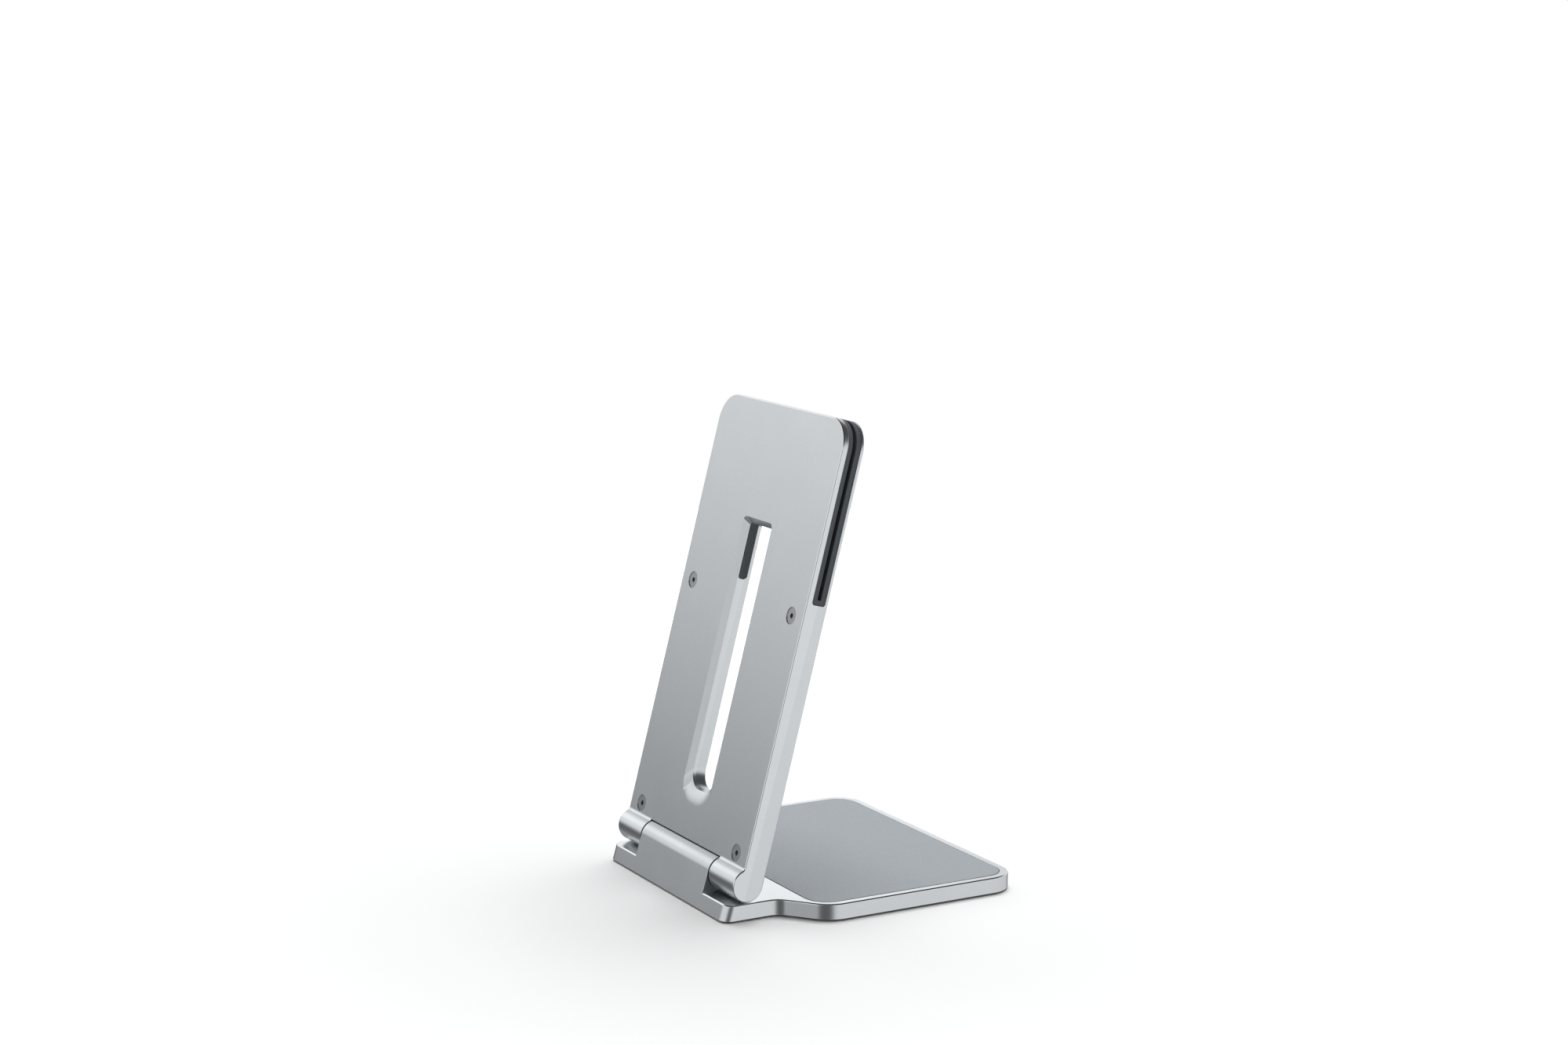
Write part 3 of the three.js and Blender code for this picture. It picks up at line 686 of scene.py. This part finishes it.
def rear_slot_tool(materials):
    """The slot in the rear half, with its bevelled mouth."""
    wall = slot_outline(SLOT_WIDTH / 2, 0)
    mouth = slot_outline(SLOT_WIDTH / 2, 1 + SLOT_OVERRUN)
    return skinned([
        (wall, ARM_FRONT - PAST, BLASTED),
        (wall, ARM_REAR - SLOT_BEVEL_DEPTH, BLASTED),
        (mouth, ARM_REAR + SLOT_OVERRUN * SLOT_BEVEL_DEPTH, BLASTED),
    ], along_y, materials)


def front_slot_tool(materials):
    """The wider slot in the front half."""
    outline = slot_outline(SLOT_FRONT_WIDTH / 2, 0)
    return skinned(
        [(outline, ARM_FRONT - PAST, BLASTED), (outline, ARM_REAR + PAST, BLASTED)],
        along_y, materials,
    )


def arm_blank(metal):
    """The arm before it is split: plate, knuckles, notch, groove and the shaft's sockets."""
    half = ARM_WIDTH / 2
    r = BARREL_RADIUS
    far = 3 * r
    foot_top = SCREW_ABOVE_HINGE
    fillet_angle = math.acos((ARM_REAR + BARREL_FILLET) / (r + BARREL_FILLET))
    fillet_top = (r - ARM_REAR * math.cos(fillet_angle)) / math.sin(fillet_angle)
    knuckle = [
        [ARM_FRONT, foot_top, 0], [ARM_FRONT, -r, r], [r, -r, r],
        [r, r * math.tan(fillet_angle / 2), r], [ARM_REAR, fillet_top, BARREL_FILLET],
        [ARM_REAR, foot_top, 0],
    ]
    arm = eased_prism(
        arm_corners((foot_top + NOTCH_RADIUS) / 2), ARM_FRONT, ARM_REAR, ARM_EDGE,
        along_y, metal, ARM_CORNER_STEPS,
    )
    combine(arm, eased_prism(
        knuckle, -half, half, ARM_EDGE, along_x, metal, KNUCKLE_STEPS,
    ), "UNION")
    w = NOTCH_HALF_WIDTH
    arc_end = math.sqrt(NOTCH_RADIUS ** 2 - ARM_REAR ** 2)
    for room in (
        block_of(-w, w, -far, 0, -far, NOTCH_RADIUS, metal),
        turned([[0, -w], [NOTCH_RADIUS, -w], [NOTCH_RADIUS, w], [0, w]], along_x, metal),
        block_of(-w, w, 0, far, -far, arc_end, metal),
        block_of(-w, w, ARM_REAR, far, -far, far, metal),
        groove_tool(0, metal),
    ):
        combine(arm, room, "DIFFERENCE")
    break_edges(arm)
    socket_radius = SHAFT_RADIUS + CLAMP_CLEARANCE
    socket_flat = SHAFT_FLAT + CLAMP_CLEARANCE
    socket_end = SHAFT_LENGTH / 2 + CLAMP_CLEARANCE
    for sign in (-1, 1):
        x0, x1 = sorted((sign * w * SOCKET_START, sign * socket_end))
        socket = turned(
            [[0, x0], [socket_radius, x0], [socket_radius, x1], [0, x1]], along_x, metal,
        )
        combine(socket, block_of(
            x0 - PAST, x1 + PAST, -far, far, -socket_flat, socket_flat, metal,
        ), "INTERSECT")
        combine(arm, socket, "DIFFERENCE")
    return arm


def rear_of_split(gap):
    """Everything on the rear side of the plane between the halves."""
    far = 2 * ARM_LENGTH
    part = block_of(-far, far, gap, far, -far, far, aluminium)
    tilt = math.atan2(-GROOVE_CENTRE, GROOVE_FLOOR)
    part.data.transform(Matrix.Rotation(tilt, 4, "X"))
    return part


def drill_screw_holes(half, profile):
    """Drills the four screw holes, whose profile is turned round each screw's axis."""
    for level in SCREW_LEVELS.values():
        for sign in (-1, 1):
            drill = turned(profile, along_y, aluminium, SCREW_STEPS)
            combine(half, shifted(drill, sign * SCREW_SPACING / 2, 0, level), "DIFFERENCE")


head_base = ARM_REAR - (SCREW_HEAD_RADIUS - SCREW_RADIUS) - SCREW_HEAD_SUNK
clear = SCREW_RADIUS + SCREW_CLEARANCE
cone_slack = SCREW_FIT * math.sqrt(2)
# Painted light and shade: the rear half's silver is lighter than the front half's, so that the
# arm's sides show two tones.
rear_metal_painted_light = [blasted("blasted_aluminium_back_half_painted_light", "#dce1e3", "#e3e7e9"), diamond_cut]
rear_half = arm_blank(rear_metal_painted_light)
combine(rear_half, rear_of_split(SPLIT_SHOWN / 2), "INTERSECT")
combine(rear_half, rear_slot_tool(rear_metal_painted_light), "DIFFERENCE")
drill_screw_holes(rear_half, [
    [0, ARM_FRONT - PAST], [clear, ARM_FRONT - PAST],
    [clear, head_base + SCREW_CLEARANCE - cone_slack],
    [SCREW_HEAD_RADIUS + cone_slack, SCREW_TOP],
    [SCREW_HEAD_RADIUS + cone_slack, ARM_REAR + PAST], [0, ARM_REAR + PAST],
])
hand_over(
    rear_half, "arm_back_half", "arm", "arm_rear_half", arm_place,
)

threaded = SCREW_RADIUS + SCREW_FIT
# Painted shade: the front half's silver is darker than the rear half's.
front_metal_painted_shade = [blasted("blasted_aluminium_face_half_painted_shade", "#d5dadc", "#dce0e2"), diamond_cut]
front_half = arm_blank(front_metal_painted_shade)
combine(front_half, rear_of_split(-SPLIT_SHOWN / 2), "DIFFERENCE")
combine(front_half, front_slot_tool(front_metal_painted_shade), "DIFFERENCE")
drill_screw_holes(front_half, [
    [0, SCREW_TIP - SCREW_FIT], [threaded, SCREW_TIP - SCREW_FIT],
    [threaded, ARM_REAR + PAST], [0, ARM_REAR + PAST],
])
hand_over(
    front_half, "arm_face_half", "arm", "arm_front_half", arm_place,
)

# ---- Groove liners -------------------------------------------------------------------------
# Two moulded rubber strips, L-shaped in side view, glued to the jaws and the floor of the
# groove. They meet in the middle of the floor, and grip the kickstand without marking it.

LINER_THICKNESS = 2.15      # on the jaws
LINER_FLOOR = 2.2           # and on the groove's floor
LINER_GLUE = 0.05
LINER_INSET = 0.25          # from the arm's outline
LINERS_GAP = 0.06           # between the two feet

# Charcoal moulded rubber: matt and very slightly mottled, so that its edges stay soft.
liner_rubber, tree, shader, where = new_finish("charcoal_moulded_rubber")
MOTTLE = 0.5 * MM
mottle = add_node(tree, "ShaderNodeTexNoise", inputs={
    "Vector": (where, "Object"), "Scale": 1 / MOTTLE, "Detail": 2,
})
tone = add_node(tree, "ShaderNodeValToRGB", inputs={"Fac": (mottle, "Fac")})
tone.color_ramp.elements[0].color = linear("#44484c")
tone.color_ramp.elements[1].color = linear("#54585d")
relief = add_node(tree, "ShaderNodeBump", inputs={
    "Strength": 0.4, "Distance": 0.03 * MM, "Height": (mottle, "Fac"),
})
tree.links.new(tone.outputs["Color"], shader.inputs["Base Color"])
tree.links.new(relief.outputs["Normal"], shader.inputs["Normal"])
shader.inputs["Roughness"].default_value = 0.6
shader.inputs["IOR"].default_value = 1.5

for side_name, near, far_side, slot_tool in (
    ("rear", GROOVE_CENTRE + LINERS_GAP / 2, ARM_REAR, rear_slot_tool),
    ("front", ARM_FRONT, GROOVE_CENTRE - LINERS_GAP / 2, front_slot_tool),
):
    rubber = [liner_rubber]
    liner = groove_tool(LINER_GLUE, rubber)
    combine(liner, prism(
        arm_corners(0, LINER_INSET), ARM_FRONT - PAST, ARM_REAR + PAST, along_y, rubber,
        ARM_CORNER_STEPS,
    ), "INTERSECT")
    combine(liner, prism(
        groove_corners(
            GROOVE_REAR - LINER_THICKNESS, GROOVE_FRONT + LINER_THICKNESS,
            GROOVE_FLOOR + LINER_FLOOR, 0,
        ),
        -ARM_WIDTH, ARM_WIDTH, along_x, rubber,
    ), "DIFFERENCE")
    combine(liner, block_of(
        -ARM_WIDTH, ARM_WIDTH, near, far_side, 0, 2 * ARM_LENGTH, rubber,
    ), "INTERSECT")
    combine(liner, slot_tool(rubber), "DIFFERENCE")
    hand_over(
        liner, f"{side_name}_rubber_liner", "arm", f"{side_name}_jaw_liner",
        arm_place,
    )

# ---- Arm screws ----------------------------------------------------------------------------
# Four stainless countersunk screws with small hexagon sockets pull the halves together: two
# close to the knuckles clamp the shaft, and two sit just under the groove.

SCREW_SOCKET = 1.0          # from its middle to a flat
SCREW_SOCKET_DEPTH = 1.3
SCREW_RIM = 0.12            # radius of the head's edge
RIM_MIDWAY = 0.3            # of that radius, where the rounding has one point between its ends
SCREW_TIP_BEVEL = 0.3

# Stainless steel, turned: darker than the arm, with faint rings round the head's centre.
turned_stainless, tree, shader, where = new_finish("turned_stainless_steel")
TURNING_RING = 0.35 * MM
from_axis = add_node(tree, "ShaderNodeMapping", inputs={
    "Vector": (where, "Object"), "Scale": [1, 0, 1],
})
radius = add_node(tree, "ShaderNodeVectorMath", {"operation": "LENGTH"}, {
    0: (from_axis, "Vector"),
})
phase = add_node(tree, "ShaderNodeMath", {"operation": "MULTIPLY"}, {
    0: (radius, "Value"), 1: 2 * math.pi / TURNING_RING,
})
rings = add_node(tree, "ShaderNodeMath", {"operation": "SINE"}, {0: (phase, "Value")})
relief = add_node(tree, "ShaderNodeBump", inputs={
    "Strength": 0.12, "Distance": 0.01 * MM, "Height": (rings, "Value"),
})
tree.links.new(relief.outputs["Normal"], shader.inputs["Normal"])
shader.inputs["Base Color"].default_value = linear("#b4b6b8")
shader.inputs["Roughness"].default_value = 0.3
shader.inputs["Metallic"].default_value = 1

socket_corner = SCREW_SOCKET / math.cos(math.radians(30))
hexagon = [
    [*(Matrix.Rotation(math.radians(60 * i), 2) @ Vector((socket_corner, 0))), 0]
    for i in range(6)
]
rim_midway = RIM_MIDWAY * SCREW_RIM
steel = [turned_stainless]
for row, level in SCREW_LEVELS.items():
    for side_name, sign in (("left", -1), ("right", 1)):
        screw = turned([
            [0, SCREW_TIP], [SCREW_RADIUS - SCREW_TIP_BEVEL, SCREW_TIP],
            [SCREW_RADIUS, SCREW_TIP + SCREW_TIP_BEVEL], [SCREW_RADIUS, head_base],
            [SCREW_HEAD_RADIUS, SCREW_TOP - SCREW_RIM],
            [SCREW_HEAD_RADIUS - rim_midway, SCREW_TOP - rim_midway],
            [SCREW_HEAD_RADIUS - SCREW_RIM, SCREW_TOP], [0, SCREW_TOP],
        ], along_y, steel, SCREW_STEPS)
        combine(screw, prism(
            hexagon, SCREW_TOP - SCREW_SOCKET_DEPTH, ARM_REAR + PAST, along_y, steel,
        ), "DIFFERENCE")
        place = arm_place @ Matrix.Translation(
            Vector((sign * SCREW_SPACING / 2, 0, level)) * MM
        )
        hand_over(
            screw, f"countersunk_screw_{row}_{side_name}", "arm",
            f"arm_screw_{row}_{side_name}", place,
        )

# ---- Studio --------------------------------------------------------------------------------
# A plain pale floor that runs out into white, and a soft dome of light. The dome is bright
# round a tilted horizon and darker above and below it, more so on its shaded side, and has one
# dark curtain, because satin metal takes its shape from what it mirrors. Sizes are in metres.

FLOOR_RADIUS = 0.9
FLOOR_DROP = 0.05 * MM      # so that floor and sole are never in one plane
FLOOR_FADE = (0.12, 0.55)   # the floor brightens to white between these distances
FLOOR_GLOW = 0.6
DOME_TILT = 14.4            # degrees that the horizon dips, on the side of DOME_AZIMUTH
DOME_AZIMUTH = 190
SHADED_TONES = (            # towards SHADED_AZIMUTH; (height over the tilted horizon, tone)
    (-0.95, 0.01), (-0.84, 0.02), (-0.71, 0.42), (-0.61, 0.18), (-0.47, 0.12), (-0.34, 0.07),
    (-0.28, 0.17), (-0.237, 0.38), (-0.157, 0.77), (-0.072, 0.93), (0.0, 0.94), (0.10, 0.92),
    (0.24, 0.82), (0.38, 0.80), (0.55, 0.06),
)
OPEN_TONES = (              # the other way, where the pale floor shows in the metal
    (-0.95, 0.01), (-0.75, 0.14), (-0.55, 0.46), (-0.35, 0.72), (-0.11, 0.82), (-0.05, 0.87),
    (0.01, 0.92), (0.10, 0.92), (0.24, 0.82), (0.38, 0.80), (0.55, 0.06),
)
SHADED_AZIMUTH = 20
SHADED_EDGE = (-0.15, 0.35) # the open side runs into the shaded one between these
COOL = 1.01                 # the dome is this much bluer than grey
CURTAIN_AZIMUTH = 142
CURTAIN_ELEVATION = -14
CURTAIN_OUTER = 34          # degrees from the curtain's middle to where it starts
CURTAIN_INNER = 16          # and to where it is fully dark
CURTAIN_DARKNESS = 0.9
CURTAIN_TONE = 0.02
COLOUR_A, COLOUR_B, MIXED = 6, 7, 2     # a mix node's sockets for colours


def aimed(azimuth, elevation):
    """The direction at an azimuth and an elevation in degrees."""
    around, above = math.radians(azimuth), math.radians(elevation)
    return Vector((
        math.cos(around) * math.cos(above), math.sin(around) * math.cos(above), math.sin(above),
    ))


floor_paint, tree, shader, where = new_finish("pale_studio_floor")
shader.inputs["Base Color"].default_value = linear("#f4f5f5")
shader.inputs["Roughness"].default_value = 0.8
shader.inputs["Specular IOR Level"].default_value = 0.1
shader.inputs["Emission Color"].default_value = [1, 1, 1, 1]
span = add_node(tree, "ShaderNodeVectorMath", {"operation": "LENGTH"}, {0: (where, "Object")})
fade = add_node(tree, "ShaderNodeMapRange", {"interpolation_type": "SMOOTHSTEP"}, {
    "Value": (span, "Value"), "From Min": FLOOR_FADE[0], "From Max": FLOOR_FADE[1],
    "To Max": FLOOR_GLOW,
})
tree.links.new(fade.outputs["Result"], shader.inputs["Emission Strength"])
floor_mesh = bpy.data.meshes.new("floor")
floor_mesh.from_pydata([
    aimed(360 * k / ROUND_STEPS, 0) * FLOOR_RADIUS - Vector((0, 0, FLOOR_DROP))
    for k in range(ROUND_STEPS)
], [], [list(range(ROUND_STEPS))])
floor_mesh.materials.append(floor_paint)
floor = bpy.data.objects.new("studio_floor", floor_mesh)
bpy.context.scene.collection.objects.link(floor)
floor.visible_glossy = False    # it lights the stand but isn't mirrored in it

sky = bpy.data.worlds.new("soft_white_studio")
sky.use_nodes = True
tree = sky.node_tree
tree.nodes.clear()
direction = add_node(tree, "ShaderNodeTexCoord")
height = add_node(tree, "ShaderNodeVectorMath", {"operation": "DOT_PRODUCT"}, {
    0: (direction, "Generated"), 1: aimed(DOME_AZIMUTH, 90 - DOME_TILT),
})


def dome_tone(tones):
    """The dome's grey as a ramp over the height above its tilted horizon."""
    low, high = tones[0], tones[-1]
    share = add_node(tree, "ShaderNodeMapRange", inputs={
        "Value": (height, "Value"), "From Min": low[0], "From Max": high[0],
    })
    ramp = add_node(tree, "ShaderNodeValToRGB", inputs={"Fac": (share, "Result")})
    for (_, grey), element in zip((low, high), ramp.color_ramp.elements):
        element.color = (grey, grey, grey * COOL, 1)
    for at, grey in tones[1:-1]:
        element = ramp.color_ramp.elements.new((at - low[0]) / (high[0] - low[0]))
        element.color = (grey, grey, grey * COOL, 1)
    return ramp


facing = add_node(tree, "ShaderNodeVectorMath", {"operation": "DOT_PRODUCT"}, {
    0: (direction, "Generated"), 1: aimed(SHADED_AZIMUTH, 0),
})
shaded = add_node(tree, "ShaderNodeMapRange", {"interpolation_type": "SMOOTHSTEP"}, {
    "Value": (facing, "Value"), "From Min": SHADED_EDGE[0], "From Max": SHADED_EDGE[1],
})
dome = add_node(tree, "ShaderNodeMix", {"data_type": "RGBA"}, {
    0: (shaded, "Result"), COLOUR_A: (dome_tone(OPEN_TONES), "Color"),
    COLOUR_B: (dome_tone(SHADED_TONES), "Color"),
})
beside = add_node(tree, "ShaderNodeVectorMath", {"operation": "DOT_PRODUCT"}, {
    0: (direction, "Generated"), 1: aimed(CURTAIN_AZIMUTH, CURTAIN_ELEVATION),
})
curtain = add_node(tree, "ShaderNodeMapRange", {"interpolation_type": "SMOOTHSTEP"}, {
    "Value": (beside, "Value"),
    "From Min": math.cos(math.radians(CURTAIN_OUTER)),
    "From Max": math.cos(math.radians(CURTAIN_INNER)),
    "To Max": CURTAIN_DARKNESS,
})
curtained = add_node(tree, "ShaderNodeMix", {"data_type": "RGBA"}, {
    0: (curtain, "Result"), COLOUR_A: (dome, MIXED),
    COLOUR_B: [CURTAIN_TONE, CURTAIN_TONE, CURTAIN_TONE, 1],
})
rays = add_node(tree, "ShaderNodeLightPath")
backdrop = add_node(tree, "ShaderNodeMix", {"data_type": "RGBA"}, {
    0: (rays, "Is Camera Ray"), COLOUR_A: (curtained, MIXED), COLOUR_B: [1, 1, 1, 1],
})
glow = add_node(tree, "ShaderNodeBackground", inputs={
    "Color": (backdrop, MIXED), "Strength": 1.0,
})
add_node(tree, "ShaderNodeOutputWorld", inputs={"Surface": (glow, "Background")})
bpy.context.scene.world = sky


def soft_light(name, azimuth, elevation, distance, width, power, mirrored=True):
    """A round softbox turned to the stand; one that isn't mirrored leaves no spot on metal."""
    lamp = bpy.data.lights.new(name, "AREA")
    lamp.shape, lamp.size, lamp.energy = "DISK", width, power
    made = bpy.data.objects.new(name, lamp)
    towards = aimed(azimuth, elevation)
    made.location = towards * distance
    made.rotation_euler = towards.to_track_quat("Z", "Y").to_euler()
    made.visible_glossy = mirrored
    bpy.context.scene.collection.objects.link(made)


soft_light("right_softbox", 18, 26, 1.4, 0.5, 0.25)
soft_light("front_softbox", -26, 21, 1.4, 0.5, 0.26)
soft_light("overhead_softbox", -60, 75, 1.3, 1.0, 17.5, mirrored=False)
bpy.context.scene.view_settings.view_transform = "Standard"

# ---- Camera --------------------------------------------------------------------------------
# A moderately long lens, behind the stand's left side and a little above it, with everything
# in focus.

CAMERA_AZIMUTH = 240.614    # degrees; 0 looks from the front
CAMERA_ELEVATION = 10.049
CAMERA_ROLL = 0.233
CAMERA_DISTANCE = 1.18654   # metres from the aim
CAMERA_LENS = 65.96
CAMERA_AIM = Vector((0, 0.00854, 0.14971))

around, above, roll = map(math.radians, (CAMERA_AZIMUTH, CAMERA_ELEVATION, CAMERA_ROLL))
back = Vector((         # from the aim to the camera
    math.sin(around) * math.cos(above), -math.cos(around) * math.cos(above), math.sin(above),
))
right = Vector((math.cos(around), math.sin(around), 0))
up = back.cross(right)
camera_right = right * math.cos(roll) + up * math.sin(roll)
camera_up = up * math.cos(roll) - right * math.sin(roll)
camera = bpy.data.objects.new("camera", bpy.data.cameras.new("camera"))
bpy.context.scene.collection.objects.link(camera)
camera.data.lens = CAMERA_LENS
camera.matrix_world = (
    Matrix.Translation(CAMERA_AIM + back * CAMERA_DISTANCE)
    @ Matrix((camera_right, camera_up, back)).transposed().to_4x4()
)
bpy.context.scene.camera = camera
